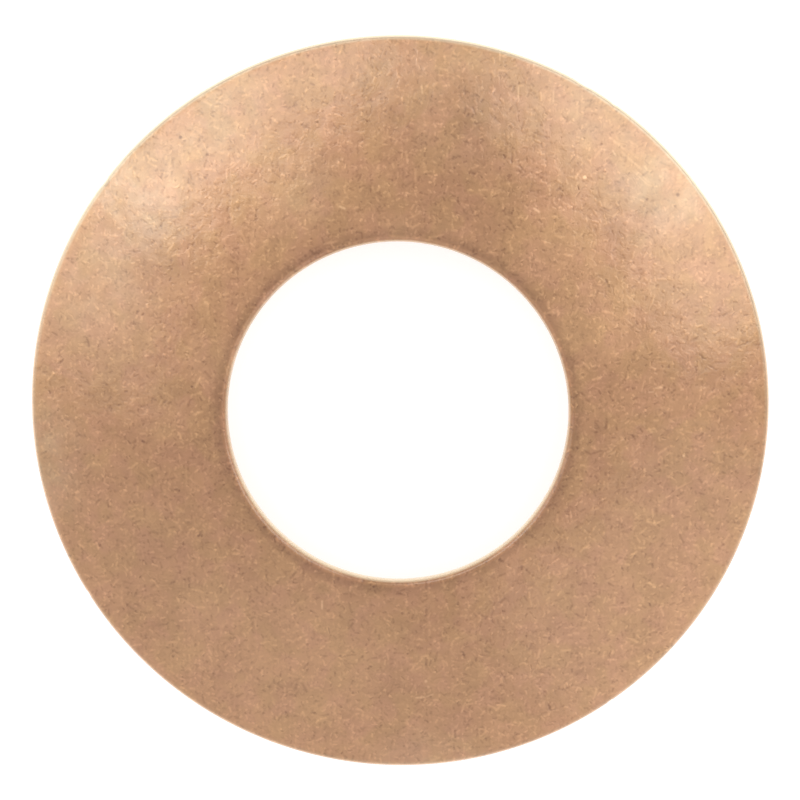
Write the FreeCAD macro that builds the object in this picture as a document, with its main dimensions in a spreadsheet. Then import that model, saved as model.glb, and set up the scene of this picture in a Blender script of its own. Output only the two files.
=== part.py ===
"""Spherical thrust washer, stamped from bronze strip and coined to a dome.

One piece. It sits between the round back of a bevel pinion and the round seat in the gear case, with the
pinion's cross pin through its bore. The frame has the washer's own axis as +Z, dome upwards, with the origin
in the plane that the rim rests on. Lengths are in millimetres.
"""

import FreeCAD, Part
import math
import os

import Sketcher

OUT = "parts"
NODE = "thrust_washer"

# Each driving dimension, written once, with what it measures.
SIZES = {
    "outer_diameter": (48.6, "over the rounded rim"),
    "bore_diameter": (22.3, "straight wall, for the cross pin"),
    "wall_thickness": (1.0, "square to the dome"),
    "dome_radius": (55.0, "convex face; the concave face shares its centre"),
    "bore_edge_radius": (0.55, "round from the convex face into the bore"),
    "bore_break_width": (0.2, "flat between the concave face and the bore"),
    "rim_edge_radius": (0.35, "round from the convex face into the rim"),
    "rim_break_width": (0.25, "flat between the concave face and the rim"),
}

# The most of the wall's thickness that an edge takes, so that some of each end face is left straight.
ROUND_SHARE = 0.6
BREAK_SHARE = 0.3

# The turn between an end face and the flat of its broken edge, inside the metal.
BREAK_TURN = math.radians(135)


def make_sheet(doc):
    """The spreadsheet that the section reads its sizes from."""
    sheet = doc.addObject("Spreadsheet::Sheet", "sizes")
    for row, (name, (value, note)) in enumerate(SIZES.items(), start=1):
        sheet.set(f"A{row}", name)
        sheet.set(f"B{row}", str(value))
        sheet.setAlias(f"B{row}", name)
        sheet.set(f"C{row}", note)
    doc.recompute()
    return sheet


def edge_size(sheet, name):
    """An edge's radius or width as far as the wall allows it, and the same as a formula of the cells."""
    share = BREAK_SHARE if name.endswith("break_width") else ROUND_SHARE
    size = min(getattr(sheet, name), share * sheet.wall_thickness)
    return size, f"min(sizes.{name}; {share} * sizes.wall_thickness)"


def at(centre, radius, angle):
    """The point at that radius from centre, with the angle from the washer's axis outwards."""
    return centre + FreeCAD.Vector(radius * math.sin(angle), radius * math.cos(angle), 0)


def arc(centre, first, last):
    """The arc about centre that runs counter-clockwise from first to last."""
    begin = math.atan2(first.y - centre.y, first.x - centre.x)
    end = math.atan2(last.y - centre.y, last.x - centre.x)
    circle = Part.Circle(centre, FreeCAD.Vector(0, 0, 1), (first - centre).Length)
    return Part.ArcOfCircle(circle, begin, end if end > begin else end + 2 * math.pi)


def section_geometry(sheet):
    """The eight edges of the half section, where the constraints will hold them."""
    convex = sheet.dome_radius
    concave = sheet.dome_radius - sheet.wall_thickness
    bore = sheet.bore_diameter / 2
    bore_round = edge_size(sheet, "bore_edge_radius")[0]
    bore_leg = edge_size(sheet, "bore_break_width")[0] / math.sqrt(2)
    rim_round = edge_size(sheet, "rim_edge_radius")[0]
    rim_leg = edge_size(sheet, "rim_break_width")[0] / math.sqrt(2)

    # The rim is cut square to the dome, so its end face lies on a ray from the dome's centre.
    round_angle = math.asin((sheet.outer_diameter / 2 - rim_round) / (convex - rim_round))
    rim_angle = round_angle + math.asin(rim_round / (convex - rim_round))
    end_reach = rim_leg + math.sqrt(concave**2 - rim_leg**2)
    rest_angle = rim_angle - math.asin(rim_leg / concave)
    middle = FreeCAD.Vector(0, -concave * math.cos(rest_angle), 0)
    rim_on_dome = at(middle, convex, round_angle)
    rim_top = at(middle, math.sqrt((convex - rim_round) ** 2 - rim_round**2), rim_angle)
    rim_bottom = at(middle, end_reach, rim_angle)
    rest = at(middle, concave, rest_angle)

    bore_angle = math.asin((bore + bore_round) / (convex - bore_round))
    bore_on_dome = at(middle, convex, bore_angle)
    bore_centre = at(middle, convex - bore_round, bore_angle)
    bore_top = FreeCAD.Vector(bore, bore_centre.y, 0)
    foot = at(middle, concave, math.asin((bore + bore_leg) / concave))
    bore_bottom = foot + FreeCAD.Vector(-bore_leg, bore_leg, 0)

    return {
        "convex_face": arc(middle, rim_on_dome, bore_on_dome),
        "bore_edge": arc(bore_centre, bore_on_dome, bore_top),
        "bore_wall": Part.LineSegment(bore_top, bore_bottom),
        "bore_break": Part.LineSegment(bore_bottom, foot),
        "concave_face": arc(middle, rest, foot),
        "rim_break": Part.LineSegment(rest, rim_bottom),
        "rim_end": Part.LineSegment(rim_bottom, rim_top),
        "rim_edge": arc(at(middle, convex - rim_round, round_angle), rim_top, rim_on_dome),
    }


def draw_section(body, sheet):
    """The half section on the XZ plane, fully constrained, with every size bound to the sheet."""
    sketch = body.newObject("Sketcher::SketchObject", "section")
    plane = next(f for f in body.Origin.OriginFeatures if f.Role == "XZ_Plane")
    sketch.AttachmentSupport = (plane, [""])
    sketch.MapMode = "FlatFace"
    edge = {name: sketch.addGeometry(shape) for name, shape in section_geometry(sheet).items()}

    def start_of(name):
        return edge[name], 1

    def end_of(name):
        return edge[name], 2

    def centre_of(name):
        return edge[name], 3

    axis = -2
    origin = (-1, 1)

    def hold(kind, *places):
        return sketch.addConstraint(Sketcher.Constraint(kind, *places))

    def hold_size(name, kind, *places, formula):
        """A dimension whose value follows a formula of the sheet's cells."""
        sketch.renameConstraint(hold(kind, *places), name)
        sketch.setExpression(f"Constraints.{name}", formula)

    # Rounded edges run smoothly into their neighbours, and broken edges meet them at corners.
    hold("Tangent", *end_of("convex_face"), *start_of("bore_edge"))
    hold("Tangent", *end_of("bore_edge"), *start_of("bore_wall"))
    hold("Coincident", *end_of("bore_wall"), *start_of("bore_break"))
    hold("Coincident", *end_of("bore_break"), *end_of("concave_face"))
    hold("Coincident", *start_of("concave_face"), *start_of("rim_break"))
    hold("Coincident", *end_of("rim_break"), *start_of("rim_end"))
    hold("Tangent", *end_of("rim_end"), *start_of("rim_edge"))
    hold("Tangent", *end_of("rim_edge"), *start_of("convex_face"))

    # Both faces are spheres about one point of the axis, and the rim's end face points at it.
    hold("Coincident", *centre_of("convex_face"), *centre_of("concave_face"))
    hold("PointOnObject", *centre_of("convex_face"), axis)
    hold("PointOnObject", *centre_of("convex_face"), edge["rim_end"])
    hold("Vertical", edge["bore_wall"])
    hold("Angle", *start_of("bore_break"), *end_of("bore_wall"), BREAK_TURN)
    hold("Angle", *start_of("rim_end"), *end_of("rim_break"), BREAK_TURN)

    # The washer rests on the corner where the concave face meets the rim's broken edge.
    hold("PointOnObject", *start_of("concave_face"), -1)

    convex = sheet.dome_radius
    concave = sheet.dome_radius - sheet.wall_thickness
    hold_size("dome", "Radius", edge["convex_face"], convex, formula="sizes.dome_radius")
    dish = "sizes.dome_radius - sizes.wall_thickness"
    hold_size("dish", "Radius", edge["concave_face"], concave, formula=dish)

    bore = sheet.bore_diameter / 2
    place = (*origin, *start_of("bore_wall"))
    hold_size("bore_radius", "DistanceX", *place, bore, formula="sizes.bore_diameter / 2")

    size, formula = edge_size(sheet, "bore_edge_radius")
    hold_size("bore_rounding", "Radius", edge["bore_edge"], size, formula=formula)
    size, formula = edge_size(sheet, "bore_break_width")
    hold_size("bore_deburring", "Distance", edge["bore_break"], size, formula=formula)
    size, formula = edge_size(sheet, "rim_break_width")
    hold_size("rim_deburring", "Distance", edge["rim_break"], size, formula=formula)
    size, formula = edge_size(sheet, "rim_edge_radius")
    hold_size("rim_rounding", "Radius", edge["rim_edge"], size, formula=formula)

    # The rim's widest circle is one radius of its rounded edge out from that edge's centre.
    place = (*origin, *centre_of("rim_edge"))
    reach = sheet.outer_diameter / 2 - size
    hold_size("rim_reach", "DistanceX", *place, reach, formula=f"sizes.outer_diameter / 2 - {formula}")
    return sketch


def make_washer(doc, sheet):
    """The section turned once about the washer's axis."""
    body = doc.addObject("PartDesign::Body", NODE)
    body.Label = NODE
    sketch = draw_section(body, sheet)
    doc.recompute()
    ring = body.newObject("PartDesign::Revolution", "coined_ring")
    ring.Profile = sketch
    ring.ReferenceAxis = (sketch, ["V_Axis"])
    ring.Angle = 360
    body.Placement = FreeCAD.Placement()
    doc.recompute()
    return body


def check(doc, body):
    """Stops the build unless every object and the finished solid are sound."""
    for thing in doc.Objects:
        if {"Invalid", "Error"} & set(thing.State):
            raise RuntimeError(f"{thing.Name} failed: {thing.State}")
    sketch = doc.getObject("section")
    if sketch.solve() != 0 or not sketch.FullyConstrained:
        raise RuntimeError("the section isn't fully constrained")
    shape = body.Shape
    if shape.isNull() or not shape.isValid() or len(shape.Solids) != 1:
        raise RuntimeError("the washer isn't one valid solid")


def main():
    doc = FreeCAD.newDocument("thrust_washer")
    sheet = make_sheet(doc)
    washer = make_washer(doc, sheet)
    check(doc, washer)
    os.makedirs(OUT, exist_ok=True)
    washer.Shape.exportStep(os.path.join(OUT, f"{washer.Label}.step"))
    box = washer.Shape.optimalBoundingBox()
    print(f"{washer.Label}: volume {washer.Shape.Volume:.1f} mm3, {len(washer.Shape.Faces)} faces")
    print(f"{box.XLength:.3f} mm across, from z {box.ZMin:.4f} to {box.ZMax:.4f}")


main()
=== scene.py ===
"""Looks of a bronze spherical thrust washer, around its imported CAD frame.

The ring lies dome up on the rim of its concave side, with its axis along +Z. One finely turned
piece with small nicks in its rim stands for the CAD node, in a tumbled matt bronze.
"""

import math

import bpy
from mathutils import Matrix, Vector


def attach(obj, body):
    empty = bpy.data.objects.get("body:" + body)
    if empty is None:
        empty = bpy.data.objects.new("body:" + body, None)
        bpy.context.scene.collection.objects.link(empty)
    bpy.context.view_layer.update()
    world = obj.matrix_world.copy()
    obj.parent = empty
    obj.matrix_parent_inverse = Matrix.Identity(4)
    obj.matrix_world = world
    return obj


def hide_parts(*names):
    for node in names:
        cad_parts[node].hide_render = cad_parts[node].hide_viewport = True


MM = 0.001

# The washer's section, in metres, as its source has it.
OUTER_RADIUS = 24.3 * MM
BORE_RADIUS = 11.15 * MM
DOME_RADIUS = 55.0 * MM
WALL = 1.0 * MM
BORE_ROUND = 0.55 * MM
BORE_BREAK = 0.2 * MM
RIM_ROUND = 0.35 * MM
RIM_BREAK = 0.25 * MM

# How finely the section is turned.
TURNS = 900
DOME_STEPS = 30
BORE_STEPS = 14
RIM_STEPS = 8
HOLLOW_STEPS = 22
SHARP_ANGLE = math.radians(25)

# The camera: how far the view leans off the axis, towards which side, from how far and at what.
VIEW_LEAN = math.radians(8.08)
VIEW_SIDE = math.radians(77.7)
VIEW_DISTANCE = 566 * MM
VIEW_TARGET = (0.01 * MM, 0.15 * MM, 0.68 * MM)
FOCAL_PIXELS = 8585
FRAME_PIXELS = 800
SENSOR = 36.0
NEAREST = 0.01
FARTHEST = 10.0

# Softboxes: name, azimuth and elevation of the middle, half width and half height, all in degrees
# as the object sees them, and brightness, where 1 is a white surface's.
LAMP_DISTANCE = 0.6
SOFTBOXES = [
    ("key_right", 36, 42, 25.5, 13, 1.26),
    ("key_left", 125, 45, 22, 8.5, 1.39),
    ("side_left", 163, 34, 18.5, 20, 0.57),
    ("side_right", 317, 28, 21, 27, 0.36),
    ("fill_front", 246, 27, 40, 26, 0.142),
]
LAMP_COLOUR = (0.96, 1.06, 1.05)

# The room is one pale grey all round. The floor's glow shows only to the camera, in reflections
# and through clear things, and makes it white there.
ROOM_BRIGHTNESS = 0.67
FLOOR_HALF_WIDTH = 3.0
FLOOR_GREY = 0.8
FLOOR_GLOW = 0.6

# The bronze, in linear colour.
BRONZE = (0.538, 0.250, 0.102)
BRONZE_PINK = (0.549, 0.250, 0.110)
BRONZE_OCHRE = (0.528, 0.253, 0.096)
# Pale bronze, for rubbed edges and bright marks, and for the painted highlights.
BRONZE_RUBBED_AND_HIGHLIGHT = (0.92, 0.76, 0.53)

# Patches of a faint tint: colour, size in millimetres, shift of the pattern, and the noise's value
# where they start and where they are full.
TINTS = [
    (BRONZE_PINK, 1.7, (41, 9, 0), 0.42, 0.66),
    (BRONZE_OCHRE, 2.2, (7, 53, 0), 0.44, 0.68),
]

# Roughness: the least, how much a cloudy pattern adds, how much more there is inside the bore, and
# the size of the clouds in millimetres.
ROUGHNESS = 0.30
ROUGHNESS_CLOUD = 0.18
BORE_ROUGHNESS = 0.18
ROUGHNESS_CLOUD_SIZE = 0.9

# Where the bore's roughness ends and is full, in millimetres out from its wall.
BORE_ROUGH_END = 0.6
BORE_ROUGH_FULL = 0.4

# The clear film on the bronze: its roughness and its index of refraction.
COAT_ROUGHNESS = 0.22
COAT_IOR = 1.9

# How much a mark, stain, painted light or painted shade changes each channel, so that darker is a
# deeper brown.
TONE_SHARES = (0.88, 1.10, 1.40)

# How far aside, in millimetres, the concave side takes its part of the pattern from.
UNDERSIDE_SHIFT = 61.0

# The tumbled finish. Scratches, in millimetres: name, cell, length, width, share of the cells that
# have one, bend, shift of the pattern, weight in the tone and height.
SCRATCHES = [
    ("fine", 0.30, 0.50, 0.120, 0.95, 0.05, (3, 7, 0), 0.30, 0.003),
    ("medium", 0.37, 0.70, 0.125, 0.90, 0.07, (19, 2, 0), 0.285, 0.003),
    ("coarse", 0.62, 1.20, 0.140, 0.70, 0.12, (5, 31, 0), 0.30, 0.004),
]

# A scratch's random number, doubled, at which it is neither lighter nor darker than the bronze.
SCRATCH_EVEN = 0.96

# Half of a scratch, as shares of the length above: the least, and how much more chance adds. The
# middle of it, by this share, is full, and the rest fades to its ends.
SCRATCH_LEAST = 0.15
SCRATCH_MORE = 0.35
SCRATCH_FULL = 0.55

# Over how many turns chance spreads the directions, so that none comes up more often, and the size
# of the waves that bend a scratch, as a share of its length.
SCRATCH_TURNS = 6
SCRATCH_WAVE = 0.9

# Curled ridges: size in millimetres, width as a share of the noise, and shift of the pattern.
RIDGES = [
    (0.70, 0.11, (29, 3, 0)),
    (0.90, 0.10, (2, 47, 0)),
    (1.15, 0.09, (71, 22, 0)),
]
# How much the ridges' flanks are painted lighter and darker, as light and shade of their relief;
# the height after it is their real relief.
RIDGE_LIGHT_AND_SHADE = 0.07
RIDGE_HEIGHT = 0.0012

# How far each flank fades out, as a share of the ridge's width. A second noise, whose size is this
# share of the first one's, lets a ridge start at one value and be full at the other.
RIDGE_FADE = 0.7
RIDGE_CHANCE_SIZE = 0.8
RIDGE_CHANCE_SHIFT = (57, 91, 0)
RIDGE_START = 0.50
RIDGE_FULL = 0.60

# Small pits, in millimetres. The smallest has this share of the radius, and each is at its full
# depth within this share of its own.
PIT_CELL = 1.1
PIT_RADIUS = 0.12
PIT_LEAST = 0.5
PIT_FULL = 0.3
PIT_SHARE = 0.25
PIT_TONE = -0.15
PIT_HEIGHT = -0.004

# Uneven ground under the marks: name, size in millimetres, detail, roughness, shift of the pattern,
# weight in the tone and height in millimetres.
CLOUDS = [
    ("grain", 1.4, 4.0, 0.75, (0, 0, 0), 0.30, 0.012),
    ("waves", 1.3, 1.0, 0.50, (23, 17, 0), 0.08, 0.024),
    ("clouds", 2.4, 1.0, 0.50, (83, 61, 0), 0.22, 0.0),
]

# The painted shade of a darker ring round the bore, in millimetres out from its wall: where it
# starts and is full, how much further out these are at the top of the view, and where it fades and
# ends.
RING_SHADE_START = 0.26
RING_SHADE_FULL = 0.40
RING_SHADE_START_AT_TOP = 0.07
RING_SHADE_FULL_AT_TOP = 0.16
RING_SHADE_FADE = 0.65
RING_SHADE_END = 1.2
RING_SHADE_TONE = -0.18

# The ring's speckles: their size in millimetres, and how weak and how strong they make it.
SPECKLE_SIZE = 0.35
SPECKLE_WEAK = 0.6
SPECKLE_STRONG = 1.25

# Paler bands at the rim: wear all round, and painted highlights at the top and at the upper left
# where the light falls: millimetres in from the rim where each starts and is full, and its tone.
RIM_BANDS = [
    (2.6, 0.4, 0.06),
    (0.6, 0.1, 0.06),
    (0.65, 0.2, 0.13),
]
TOP_SIDE = 90
LEFT_SIDE = 140

# Edges rubbed bright, with painted highlights that are stronger on the side where the light falls:
# millimetres from the bore's wall or the rim where that starts and is full, and the share of pale
# bronze at the bottom and at the top of the view.
BORE_EDGE_BAND = (0.24, 0.09)
BORE_SHINE = (0.9, 0.5)
RIM_EDGE_BAND = (0.35, 0.03)
RIM_SHINE = (0.2, 0.85)

# How much of that wear and painted highlight the concave side's edges keep.
UNDERSIDE_SHINE = 0.3

# How much a bright mark shows as pale bronze too; the bright marks include the spots of painted
# light.
MARK_SHINE = 0.2

# Worn nicks in the rim: azimuth in degrees, length and depth in millimetres, and how far in
# from the rim they reach.
NICK_REACH = 0.3 * MM
NICKS = [
    (60.3, 1.3, 0.05),
    (54.7, 0.4, 0.05),
    (143.3, 0.9, 0.05),
    (212.0, 0.6, 0.03),
    (305.0, 0.5, 0.03),
]

# Scratches that stand out, in millimetres and degrees: name, x and y of the middle, direction,
# length, width and brightness.
STROKES = [
    ("tall", 7.80, 20.61, 90, 1.3, 0.23, 0.42),
    ("upper", 6.57, 23.00, 90, 0.9, 0.21, 0.30),
    ("faint", 10.08, 20.36, 90, 1.0, 0.21, 0.20),
    ("top", 1.50, 20.91, 96, 0.8, 0.22, 0.28),
    ("cut", 9.03, 13.18, 146, 0.65, 0.25, 0.60),
    ("cut_tail", 8.43, 12.73, 60, 0.4, 0.21, 0.25),
    ("bore_cut", -3.64, 13.38, 158, 0.6, 0.26, 0.60),
    ("slant", 15.82, 15.07, 136, 1.9, 0.22, 0.22),
    ("brushed_1", 15.2, 16.2, 139, 2.2, 0.30, 0.20),
    ("brushed_2", 15.9, 15.2, 138, 1.6, 0.24, 0.22),
    ("brushed_3", 14.2, 17.4, 142, 1.8, 0.26, 0.18),
    ("hook", 14.07, 16.72, 124, 0.6, 0.22, 0.38),
    ("dash", 13.42, 16.96, 175, 0.6, 0.22, 0.25),
    ("right_dash", 17.06, 1.46, 4, 0.6, 0.23, 0.38),
    ("right_arc", 16.56, 1.20, 3, 0.5, 0.22, 0.34),
    ("right_tail", 16.91, 1.01, 113, 0.4, 0.21, 0.30),
    ("curl", 1.40, -19.33, 4, 0.8, 0.23, 0.34),
    ("curl_end", 2.05, -19.19, 22, 0.7, 0.22, 0.26),
    ("shade", -15.02, 12.48, 8, 1.6, 0.24, -0.30),
    ("tick", -4.99, -12.90, 90, 0.8, 0.23, 0.55),
    ("rim_mark", -19.2, 14.5, 53, 0.8, 0.24, -0.60),
]

# A spot is full within this share of its radius, and fades from there.
SPOT_FULL = 0.2

# Specks and pits that stand out, then broad faint spots of painted light and painted shade, from
# bore_painted_shade on, in millimetres: name, x, y, radius and brightness.
SPOTS = [
    ("speck", 12.17, 15.22, 0.17, 0.90),
    ("pit_left", -14.37, 17.62, 0.17, -0.65),
    ("pit_right", 18.26, 13.93, 0.20, -0.62),
    ("pit_side", 18.36, -3.13, 0.15, -0.30),
    ("dot_side", 18.71, -3.13, 0.14, 0.52),
    ("dot_low", 1.80, -18.18, 0.16, 0.40),
    ("dot_lowest", 1.95, -18.58, 0.15, 0.22),
    # From here on the spots are painted light and painted shade, darker or paler patches beside the
    # highlights and near the bore.
    ("bore_painted_shade", -5.9, 10.3, 1.4, -0.10),
    ("bore_painted_light", 3.2, 11.6, 2.4, 0.06),
    ("bore_top", 0.2, 11.6, 2.0, 0.13),
    ("top_painted_shade", 4.3, 16.0, 6.5, -0.09),
    ("dim_right", 15.2, 13.2, 3.8, -0.11),
    ("dim_left", -16.6, 10.5, 4.0, -0.12),
    ("dim_top", 5.4, 19.6, 3.4, -0.08),
    ("dim_corner", 13.2, 19.2, 3.0, -0.07),
    ("pale_top", 3.0, 23.2, 4.0, 0.11),
    ("dim_upper", -16.6, 16.8, 2.8, -0.12),
    ("pale_bottom", -6.5, -16.5, 9.0, 0.08),
    ("right_painted_light", 13.2, 6.2, 5.0, 0.11),
    ("front_painted_light", 8.0, -10.0, 5.0, 0.04),
    ("left_painted_light", -8.0, 13.3, 4.5, 0.09),
    ("bore_left_painted_light", -12.3, 3.4, 2.6, 0.10),
    ("side_painted_light", -15.2, -0.5, 2.6, 0.07),
    ("low_painted_light", -13.0, -13.2, 3.0, 0.08),
    ("upper_painted_light", 11.6, 11.8, 2.8, 0.08),
    ("corner_painted_light", 9.3, 9.9, 2.6, 0.08),
    ("rim_painted_light", -14.2, -16.4, 3.0, 0.05),
]

# The painted highlight patches are cloudy: the size of that in millimetres, and how weak and how
# strong it makes them.
PATCH_CLOUD_SIZE = 2.2
PATCH_WEAK = 0.55
PATCH_STRONG = 1.45

# Painted highlights, where the dome is made paler, in millimetres: name, x, y, radius and share of
# pale bronze.
HIGHLIGHT_PATCHES = [
    ("left", -17.7, 13.8, 5.3, 0.14),
    ("left_low", -20.0, 8.0, 5.0, 0.08),
    ("upper", -12.4, 19.8, 5.5, 0.11),
    ("upper_right", 12.8, 19.6, 4.5, 0.07),
    ("bore_left", -6.6, 14.8, 4.0, 0.05),
    ("top", 4.5, 22.0, 8.0, 0.06),
    ("right", 17.9, 15.0, 5.6, 0.15),
    ("rim_left", -25.0, -4.0, 6.0, 0.13),
    ("rim_bottom", 2.0, -26.5, 6.5, 0.08),
]


# Nodes.


class Net:
    """Short calls that add nodes to one material or world."""

    def __init__(self, owner):
        owner.use_nodes = True
        self.tree = owner.node_tree
        self.tree.nodes.clear()

    def add(self, kind, inputs=(), **settings):
        node = self.tree.nodes.new(kind)
        for name, value in settings.items():
            setattr(node, name, value)
        for key, value in dict(inputs).items():
            self.put(node.inputs[key], value)
        return node

    def put(self, socket, value):
        """Links another node's output, or sets a plain value."""
        if isinstance(value, bpy.types.NodeSocket):
            self.tree.links.new(value, socket)
        else:
            socket.default_value = value

    def maths(self, operation, first, second=0.0, third=0.0):
        inputs = {0: first, 1: second, 2: third}
        return self.add("ShaderNodeMath", inputs, operation=operation).outputs[0]

    def vector(self, operation, first, second):
        inputs = {0: first, 1: second}
        return self.add("ShaderNodeVectorMath", inputs, operation=operation).outputs[0]

    def step(self, value, low, high, to_low=0.0, to_high=1.0):
        """Rises smoothly from to_low at low to to_high at high. Low may be the larger one."""
        inputs = {0: value, 1: low, 2: high, 3: to_low, 4: to_high}
        node = self.add("ShaderNodeMapRange", inputs, interpolation_type="SMOOTHSTEP")
        return node.outputs[0]

    def mix(self, share, first, second, blend="MIX"):
        inputs = {0: share, 6: first, 7: second}
        node = self.add("ShaderNodeMix", inputs, data_type="RGBA", blend_type=blend)
        return node.outputs[2]

    def noise(self, point, size, detail=2.0, roughness=0.5, output=0):
        inputs = {"Vector": point, "Scale": 1 / size, "Detail": detail, "Roughness": roughness}
        return self.add("ShaderNodeTexNoise", inputs, noise_dimensions="2D").outputs[output]


# The washer's mesh.


def at(centre, radius, angle):
    """A point of the section at that distance from centre, with its angle off the axis."""
    return centre[0] + radius * math.sin(angle), centre[1] + radius * math.cos(angle)


def arc(centre, radius, start, end, steps):
    """Points from start to end, angles off the axis, without the last one."""
    return [at(centre, radius, start + (end - start) * i / steps) for i in range(steps)]


def section():
    """The closed section, as (distance from the axis, height), clockwise from the bore's top."""
    middle = (0.0, 0.0)
    hollow = DOME_RADIUS - WALL
    rim_leg = RIM_BREAK / math.sqrt(2)
    bore_leg = BORE_BREAK / math.sqrt(2)
    round_angle = math.asin((OUTER_RADIUS - RIM_ROUND) / (DOME_RADIUS - RIM_ROUND))
    rim_angle = round_angle + math.asin(RIM_ROUND / (DOME_RADIUS - RIM_ROUND))
    end_reach = rim_leg + math.sqrt(hollow**2 - rim_leg**2)
    rest_angle = rim_angle - math.asin(rim_leg / hollow)
    bore_angle = math.asin((BORE_RADIUS + BORE_ROUND) / (DOME_RADIUS - BORE_ROUND))
    foot_angle = math.asin((BORE_RADIUS + bore_leg) / hollow)

    bore_centre = at(middle, DOME_RADIUS - BORE_ROUND, bore_angle)
    rim_centre = at(middle, DOME_RADIUS - RIM_ROUND, round_angle)
    rim_top = at(middle, math.sqrt((DOME_RADIUS - RIM_ROUND) ** 2 - RIM_ROUND**2), rim_angle)
    rim_bottom = at(middle, end_reach, rim_angle)
    rest = at(middle, hollow, rest_angle)
    foot = at(middle, hollow, foot_angle)
    bore_bottom = (foot[0] - bore_leg, foot[1] + bore_leg)

    points = arc(bore_centre, BORE_ROUND, -math.pi / 2, bore_angle, BORE_STEPS)
    points += arc(middle, DOME_RADIUS, bore_angle, round_angle, DOME_STEPS)
    points += arc(rim_centre, RIM_ROUND, round_angle, rim_angle + math.pi / 2, RIM_STEPS)
    points += [rim_top, rim_bottom]
    points += arc(middle, hollow, rest_angle, foot_angle, HOLLOW_STEPS)
    points += [foot, bore_bottom]
    return [(r, z - rest[1]) for r, z in points]


def nick_depth(turn):
    """How far the rim is worn in at that angle."""
    depth = 0.0
    for azimuth, length, deepest in NICKS:
        gap = (turn - math.radians(azimuth) + math.pi) % (2 * math.pi) - math.pi
        share = abs(gap) * OUTER_RADIUS / (length * MM / 2)
        depth += deepest * MM * max(0.0, 1 - share**2)
    return depth


def turned_mesh():
    """The section turned once about the axis, with the nicks in its rim."""
    ring = section()
    count = len(ring)
    edge = OUTER_RADIUS - NICK_REACH
    points = []
    for i in range(TURNS):
        turn = 2 * math.pi * i / TURNS
        depth = nick_depth(turn)
        for r, z in ring:
            worn = r - depth * max(0.0, r - edge) / NICK_REACH
            points.append((worn * math.cos(turn), worn * math.sin(turn), z))
    faces = []
    for i in range(TURNS):
        here, after = i * count, (i + 1) % TURNS * count
        for j in range(count):
            k = (j + 1) % count
            faces.append((here + j, here + k, after + k, after + j))
    mesh = bpy.data.meshes.new("bronze_ring")
    mesh.from_pydata(points, [], faces)
    mesh.polygons.foreach_set("use_smooth", [True] * len(faces))
    mesh.set_sharp_from_angle(angle=SHARP_ANGLE)
    mesh.validate()
    return mesh


# The bronze.


def flat_place(net):
    """A surface point seen along the axis, in millimetres."""
    place = net.add("ShaderNodeTexCoord").outputs["Object"]
    return net.vector("MULTIPLY", place, (1 / MM, 1 / MM, 0))


def pattern_point(net, place):
    """Where a point lies in the pattern. The concave side has its own part of it."""
    normal = net.add("ShaderNodeNewGeometry").outputs["True Normal"]
    up = net.add("ShaderNodeSeparateXYZ", {0: normal}).outputs[2]
    below = net.maths("LESS_THAN", up, 0.0)
    aside = net.maths("MULTIPLY", below, UNDERSIDE_SHIFT)
    shift = net.add("ShaderNodeCombineXYZ", {0: aside}).outputs[0]
    return net.vector("ADD", place, shift)


def cell_pattern(net, point, cell):
    """Scattered cells of about that size: the texture, and each cell's three random numbers."""
    inputs = {"Vector": point, "Scale": 1 / cell}
    cells = net.add("ShaderNodeTexVoronoi", inputs, voronoi_dimensions="2D")
    chance = net.add("ShaderNodeSeparateColor", {0: cells.outputs["Color"]}).outputs
    return cells.outputs, chance


def along_and_across(net, local, angle):
    """A point's two coordinates after a turn about the axis."""
    inputs = {"Vector": local, "Angle": angle}
    turned = net.add("ShaderNodeVectorRotate", inputs, rotation_type="Z_AXIS").outputs[0]
    along, across, _ = net.add("ShaderNodeSeparateXYZ", {0: turned}).outputs
    return along, across


def scratches(net, point, cell, length, width, share, bend, shift):
    """Short marks, one to a cell at most, each at its own angle. Gives (mark, random colour)."""
    moved = net.vector("ADD", point, shift)
    sway = net.noise(moved, length * SCRATCH_WAVE, 1.0, output=1)
    sway = net.vector("SUBTRACT", sway, (0.5, 0.5, 0.5))
    sway = net.vector("MULTIPLY", sway, (bend, bend, 0))
    moved = net.vector("ADD", moved, sway)
    cells, chance = cell_pattern(net, moved, cell)
    local = net.vector("SUBTRACT", moved, cells["Position"])
    turns = net.maths("ADD", chance[0], chance[1])
    angle = net.maths("MULTIPLY", turns, SCRATCH_TURNS * 2 * math.pi)
    along, across = along_and_across(net, local, angle)
    reach = net.maths("MULTIPLY_ADD", chance[1], length * SCRATCH_MORE, length * SCRATCH_LEAST)
    run = net.maths("DIVIDE", net.maths("ABSOLUTE", along), reach)
    ends = net.step(run, 1.0, SCRATCH_FULL)
    middle = net.step(net.maths("ABSOLUTE", across), width, 0.0)
    chosen = net.maths("GREATER_THAN", chance[2], 1 - share)
    mark = net.maths("MULTIPLY", net.maths("MULTIPLY", ends, middle), chosen)
    return mark, chance


def pits(net, point, cell, radius, share):
    """Small round pits of uneven size, one to a cell at most."""
    cells, chance = cell_pattern(net, point, cell)
    distance = net.maths("MULTIPLY", cells["Distance"], cell)
    size = net.maths("MULTIPLY_ADD", chance[1], radius, radius * PIT_LEAST)
    hole = net.step(net.maths("DIVIDE", distance, size), 1.0, PIT_FULL)
    chosen = net.maths("GREATER_THAN", chance[2], 1 - share)
    return net.maths("MULTIPLY", hole, chosen)


def stroke(net, point, x, y, direction, length, width):
    """One straight scratch, full over its middle half, and soft at its sides and ends."""
    local = net.vector("SUBTRACT", point, (x, y, 0))
    along, across = along_and_across(net, local, -math.radians(direction))
    ends = net.step(net.maths("ABSOLUTE", along), length / 2, length / 4)
    sides = net.step(net.maths("ABSOLUTE", across), width / 2, 0.0)
    return net.maths("MULTIPLY", ends, sides)


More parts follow.
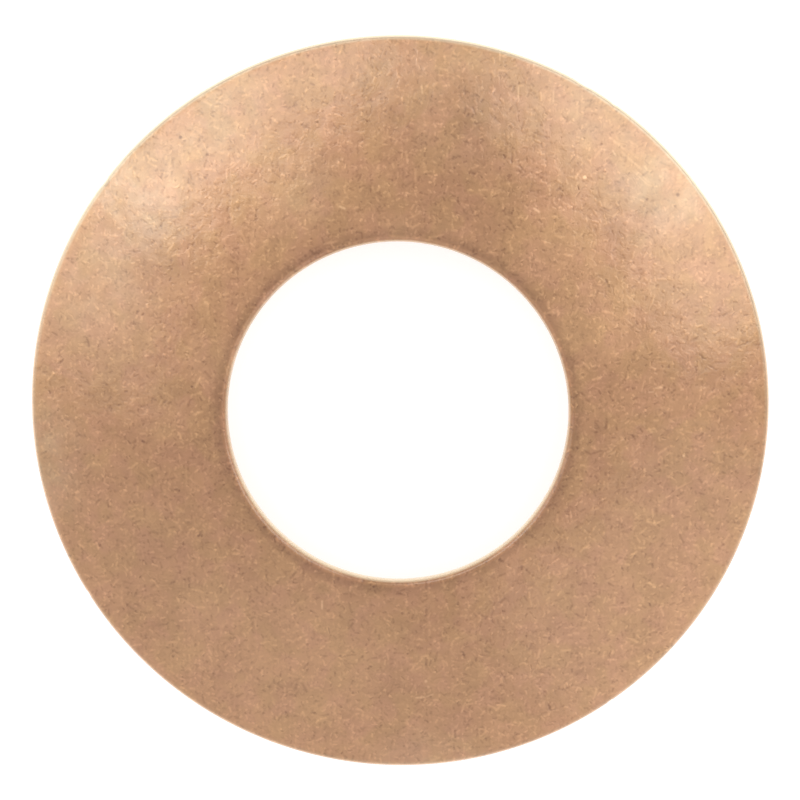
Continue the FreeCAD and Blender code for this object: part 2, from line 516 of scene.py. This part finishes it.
def spot(net, point, x, y, radius):
    """One round spot, soft from its middle out."""
    away = net.add("ShaderNodeVectorMath", {0: point, 1: (x, y, 0)}, operation="DISTANCE")
    return net.step(away.outputs["Value"], radius, radius * SPOT_FULL)


def total(net, parts):
    """Sum of (value, weight) pairs."""
    result = 0.0
    for value, weight in parts:
        result = net.maths("MULTIPLY_ADD", value, weight, result)
    return result


def centred(net, noise):
    """The noise, shifted so that its middle value is 0."""
    return net.maths("SUBTRACT", noise, 0.5)


def scored(net, mark, chance):
    """Scratches, each lighter or darker by its own share, mostly a small one."""
    share = net.maths("MULTIPLY_ADD", chance[0], 2.0, -SCRATCH_EVEN)
    share = net.maths("MULTIPLY", share, net.maths("ABSOLUTE", share))
    return net.maths("MULTIPLY", mark, share)


def ridges(net, point, size, width, shift):
    """Curled ridges along the level lines of a noise, painted lighter on one flank and darker on
    the other as light and shade of their relief.
    """
    moved = net.vector("ADD", point, shift)
    level = centred(net, net.noise(moved, size, 1.0, 0.5))
    to_lit = net.maths("ABSOLUTE", net.maths("ADD", level, -width / 2))
    to_dim = net.maths("ABSOLUTE", net.maths("ADD", level, width / 2))
    lit = net.step(to_lit, width * RIDGE_FADE, 0.0)
    dim = net.step(to_dim, width * RIDGE_FADE, 0.0)
    elsewhere = net.vector("ADD", moved, RIDGE_CHANCE_SHIFT)
    chance = net.noise(elsewhere, size * RIDGE_CHANCE_SIZE, 1.0, 0.5)
    ridge = net.maths("SUBTRACT", lit, dim)
    return net.maths("MULTIPLY", ridge, net.step(chance, RIDGE_START, RIDGE_FULL))


def tumbled_layers(net, point):
    """What the tumbling left: (layer, its weight in the tone, its height in millimetres)."""
    layers = []
    for _, cell, length, width, share, bend, shift, tone, height in SCRATCHES:
        mark, chance = scratches(net, point, cell, length, width, share, bend, shift)
        layers.append((scored(net, mark, chance), tone, height))
    for size, width, shift in RIDGES:
        layers.append((ridges(net, point, size, width, shift), RIDGE_LIGHT_AND_SHADE, RIDGE_HEIGHT))
    layers.append((pits(net, point, PIT_CELL, PIT_RADIUS, PIT_SHARE), PIT_TONE, PIT_HEIGHT))
    for _, size, detail, roughness, shift, tone, height in CLOUDS:
        cloud = net.noise(net.vector("ADD", point, shift), size, detail, roughness)
        layers.append((centred(net, cloud), tone, height))
    return layers


def named_marks(net, point):
    """The scratches and specks that stand out, and the broad spots of painted light and shade, as
    (layer, brightness).
    """
    marks = []
    for _, x, y, direction, length, width, brightness in STROKES:
        marks.append((stroke(net, point, x, y, direction, length, width), brightness))
    for _, x, y, radius, brightness in SPOTS:
        marks.append((spot(net, point, x, y, radius), brightness))
    return marks


def from_axis(net, place):
    """Distance from the washer's axis, in millimetres."""
    node = net.add("ShaderNodeVectorMath", {0: place}, operation="LENGTH")
    return node.outputs["Value"]


def towards(net, point, radius, azimuth):
    """On the dome, 1 on that side of the washer, -1 on the other side, and 0 halfway between."""
    side = (math.cos(math.radians(azimuth)), math.sin(math.radians(azimuth)), 0)
    node = net.add("ShaderNodeVectorMath", {0: point, 1: side}, operation="DOT_PRODUCT")
    return net.maths("DIVIDE", node.outputs["Value"], radius)


def facing_up(net):
    """1 on the dome and the upright walls, and little on the concave side."""
    normal = net.add("ShaderNodeNewGeometry").outputs["Normal"]
    up = net.add("ShaderNodeSeparateXYZ", {0: normal}).outputs[2]
    return net.step(up, -0.5, -0.1, UNDERSIDE_SHINE, 1.0)


def painted_bore_ring_shade(net, radius, point, top):
    """A speckled darker ring of painted shade round the bore, which ends at the bright strip of its
    edge.
    """
    bore = BORE_RADIUS / MM
    start = net.maths("MULTIPLY_ADD", top, RING_SHADE_START_AT_TOP, bore + RING_SHADE_START)
    full = net.maths("MULTIPLY_ADD", top, RING_SHADE_FULL_AT_TOP, bore + RING_SHADE_FULL)
    inner = net.step(radius, start, full)
    outer = net.step(radius, bore + RING_SHADE_END, bore + RING_SHADE_FADE)
    speckle = net.noise(point, SPECKLE_SIZE, 2.0, 0.6)
    speckle = net.step(speckle, 0.2, 0.7, SPECKLE_WEAK, SPECKLE_STRONG)
    ring = net.maths("MULTIPLY", inner, outer)
    return net.maths("MULTIPLY", ring, speckle)


def rim_wear_and_highlight(net, radius, top, left):
    """Paler towards the rim: a broad faint band of wear, and narrow painted highlights at the top
    and the upper left.
    """
    rim = OUTER_RADIUS / MM

    # The first band shows everywhere, the second mostly at the top, the third at the upper left.
    sides = [1.0, net.step(top, -0.2, 0.8, 0.3, 1.0), net.step(left, 0.1, 0.95)]
    bands = []
    for (start, full, tone), side in zip(RIM_BANDS, sides):
        band = net.step(radius, rim - start, rim - full)
        bands.append((net.maths("MULTIPLY", band, side), tone))
    return total(net, bands)


def rubbed_and_highlight_share(net, radius, point, top):
    """How much of the surface is pale bronze: both edges, rubbed and with painted highlights
    stronger where the light falls, and the painted highlight patches of the dome.
    """
    bore = BORE_RADIUS / MM
    rim = OUTER_RADIUS / MM
    # Both edges: rubbed, with a painted highlight that is stronger on the side where the light
    # falls.
    inner = net.step(radius, bore + BORE_EDGE_BAND[0], bore + BORE_EDGE_BAND[1])
    inner = net.maths("MULTIPLY", inner, net.step(top, -0.7, 0.1, *BORE_SHINE))
    outer = net.step(radius, rim - RIM_EDGE_BAND[0], rim - RIM_EDGE_BAND[1])
    outer = net.maths("MULTIPLY", outer, net.step(top, -0.2, 0.6, *RIM_SHINE))
    upward = facing_up(net)
    parts = [(inner, upward), (outer, upward)]
    cloud = net.noise(point, PATCH_CLOUD_SIZE, 3.0, 0.6)
    cloud = net.step(cloud, 0.3, 0.7, PATCH_WEAK, PATCH_STRONG)
    for _, x, y, reach, share in HIGHLIGHT_PATCHES:
        parts.append((net.maths("MULTIPLY", spot(net, point, x, y, reach), cloud), share))
    return total(net, parts)


def bronze_colour(net, point, tone, rubbed_and_highlight):
    """The alloy's colour with its marks and stains and its painted light and shade, paler where
    rubbed and where highlights are painted.
    """
    colour = (*BRONZE, 1)
    for tint, size, shift, low, high in TINTS:
        patches = net.noise(net.vector("ADD", point, shift), size, 1.0, 0.5)
        colour = net.mix(net.step(patches, low, high), colour, (*tint, 1))
    shares = [net.maths("MULTIPLY_ADD", tone, share, 1.0) for share in TONE_SHARES]
    shade = net.add("ShaderNodeCombineColor", dict(enumerate(shares))).outputs[0]
    toned = net.mix(1.0, colour, shade, "MULTIPLY")
    return net.mix(rubbed_and_highlight, toned, (*BRONZE_RUBBED_AND_HIGHLIGHT, 1))


def bronze_roughness(net, radius, point):
    """Cloudy all over, and rougher in the bore."""
    cloud = net.noise(point, ROUGHNESS_CLOUD_SIZE, 3.0, 0.55)
    rough = net.maths("MULTIPLY_ADD", cloud, ROUGHNESS_CLOUD, ROUGHNESS)
    bore = BORE_RADIUS / MM
    turned_in = net.step(radius, bore + BORE_ROUGH_END, bore + BORE_ROUGH_FULL)
    return net.maths("MULTIPLY_ADD", turned_in, BORE_ROUGHNESS, rough)


def bronze():
    """Tumbled bronze: coloured, worn and rough by place, with its scratches as relief, and with
    light and shade painted into its colour in places.
    """
    material = bpy.data.materials.new("tumbled_bronze")
    net = Net(material)
    place = flat_place(net)
    point = pattern_point(net, place)
    radius = from_axis(net, place)
    top = towards(net, point, radius, TOP_SIDE)
    left = towards(net, point, radius, LEFT_SIDE)

    layers = tumbled_layers(net, point)
    named = total(net, named_marks(net, point))
    tones = [(layer, weight) for layer, weight, _ in layers]
    tones.append((named, 1.0))
    # Painted shade round the bore, and wear with painted highlights at the rim.
    tones.append((painted_bore_ring_shade(net, radius, point, top), RING_SHADE_TONE))
    tones.append((rim_wear_and_highlight(net, radius, top, left), 1.0))
    bright = net.maths("MAXIMUM", named, 0.0)
    rubbed_and_highlight = rubbed_and_highlight_share(net, radius, point, top)
    rubbed_and_highlight = net.maths("MULTIPLY_ADD", bright, MARK_SHINE, rubbed_and_highlight)

    height = total(net, [(layer, rise) for layer, _, rise in layers])
    inputs = {"Strength": 1.0, "Distance": MM, "Height": height}
    relief = net.add("ShaderNodeBump", inputs).outputs[0]
    inputs = {
        "Base Color": bronze_colour(net, point, total(net, tones), rubbed_and_highlight),
        "Metallic": 1.0,
        "Roughness": bronze_roughness(net, radius, point),
        "Coat Weight": 1.0,
        "Coat Roughness": COAT_ROUGHNESS,
        "Coat IOR": COAT_IOR,
        "Normal": relief,
        "Coat Normal": relief,
    }
    shader = net.add("ShaderNodeBsdfPrincipled", inputs)
    net.add("ShaderNodeOutputMaterial", {"Surface": shader.outputs[0]})
    return material


# The studio.


def seen_white(net):
    """1 for rays from the camera, a reflection or a see-through surface, and 0 for the rest."""
    path = net.add("ShaderNodeLightPath").outputs
    rays = net.maths("ADD", path["Is Camera Ray"], path["Is Glossy Ray"])
    rays = net.maths("ADD", rays, path["Is Transmission Ray"])
    return net.maths("MINIMUM", rays, 1.0)


def floor_material():
    """White from above, see-through from below, with the object's shadow on it."""
    material = bpy.data.materials.new("studio_floor")
    net = Net(material)
    grey = (FLOOR_GREY, FLOOR_GREY, FLOOR_GREY, 1)
    matt = net.add("ShaderNodeBsdfDiffuse", {"Color": grey}).outputs[0]
    glow = net.add("ShaderNodeEmission", {"Color": (1, 1, 1, 1), "Strength": FLOOR_GLOW}).outputs[0]
    lit = net.add("ShaderNodeAddShader", {0: matt, 1: glow}).outputs[0]
    shown = net.add("ShaderNodeMixShader", {0: seen_white(net), 1: matt, 2: lit}).outputs[0]
    clear = net.add("ShaderNodeBsdfTransparent").outputs[0]
    back = net.add("ShaderNodeNewGeometry").outputs["Backfacing"]
    shader = net.add("ShaderNodeMixShader", {0: back, 1: shown, 2: clear}).outputs[0]
    net.add("ShaderNodeOutputMaterial", {"Surface": shader})
    return material


def make_floor():
    """The floor that the washer rests on. It is staging, not part of the washer."""
    half = FLOOR_HALF_WIDTH
    corners = [(-half, -half, 0), (half, -half, 0), (half, half, 0), (-half, half, 0)]
    mesh = bpy.data.meshes.new("floor")
    mesh.from_pydata(corners, [], [(0, 1, 2, 3)])
    mesh.materials.append(floor_material())
    floor = bpy.data.objects.new("floor", mesh)
    bpy.context.scene.collection.objects.link(floor)


def make_world():
    """A soft pale room, the same for every ray."""
    world = bpy.data.worlds.new("studio")
    bpy.context.scene.world = world
    net = Net(world)
    inputs = {"Color": (1, 1, 1, 1), "Strength": ROOM_BRIGHTNESS}
    room = net.add("ShaderNodeBackground", inputs).outputs[0]
    net.add("ShaderNodeOutputWorld", {"Surface": room})


def make_lamps():
    """Softboxes round the washer, each aimed at the origin. Watts follow from the brightness."""
    for name, azimuth, elevation, half_width, half_height, brightness in SOFTBOXES:
        lamp = bpy.data.lights.new(name, "AREA")
        lamp.shape = "RECTANGLE"
        lamp.size = 2 * LAMP_DISTANCE * math.tan(math.radians(half_width))
        lamp.size_y = 2 * LAMP_DISTANCE * math.tan(math.radians(half_height))
        lamp.energy = brightness * math.pi * lamp.size * lamp.size_y
        lamp.color = LAMP_COLOUR
        holder = bpy.data.objects.new(name, lamp)
        a, e = math.radians(azimuth), math.radians(elevation)
        away = Vector((math.cos(a) * math.cos(e), math.sin(a) * math.cos(e), math.sin(e)))
        right = Vector((-math.sin(a), math.cos(a), 0))
        turn = Matrix((right, away.cross(right), away)).transposed()
        holder.location = away * LAMP_DISTANCE
        holder.rotation_mode = "QUATERNION"
        holder.rotation_quaternion = turn.to_quaternion()
        holder.visible_camera = False
        bpy.context.scene.collection.objects.link(holder)


def make_camera():
    """The photo's view: a long lens that looks down on the dome, a little off the axis."""
    camera = bpy.data.cameras.new("camera")
    camera.sensor_width = SENSOR
    camera.lens = FOCAL_PIXELS * SENSOR / FRAME_PIXELS
    camera.clip_start = NEAREST
    camera.clip_end = FARTHEST
    holder = bpy.data.objects.new("camera", camera)
    lean = math.sin(VIEW_LEAN)
    back = Vector((lean * math.cos(VIEW_SIDE), lean * math.sin(VIEW_SIDE), math.cos(VIEW_LEAN)))
    right = Vector((0, 1, 0)).cross(back).normalized()
    up = back.cross(right)
    turn = Matrix((right, up, back)).transposed()
    holder.rotation_mode = "QUATERNION"
    holder.rotation_quaternion = turn.to_quaternion()
    holder.location = Vector(VIEW_TARGET) + back * VIEW_DISTANCE
    bpy.context.scene.collection.objects.link(holder)
    bpy.context.scene.camera = holder


def make_washer():
    """The turned ring in its bronze, in place of the CAD node."""
    washer = bpy.data.objects.new("bronze_ring", turned_mesh())
    washer.data.materials.append(bronze())
    bpy.context.scene.collection.objects.link(washer)
    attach(washer, "root")
    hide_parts("thrust_washer")


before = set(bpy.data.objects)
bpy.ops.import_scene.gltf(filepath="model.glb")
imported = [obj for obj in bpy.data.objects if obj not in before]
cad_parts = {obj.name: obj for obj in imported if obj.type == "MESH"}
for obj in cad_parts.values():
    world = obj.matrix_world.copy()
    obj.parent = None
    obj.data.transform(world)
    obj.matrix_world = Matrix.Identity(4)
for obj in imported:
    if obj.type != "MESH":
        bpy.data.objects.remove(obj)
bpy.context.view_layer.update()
bpy.context.scene.view_settings.view_transform = "Standard"
make_washer()
make_floor()
make_world()
make_lamps()
make_camera()
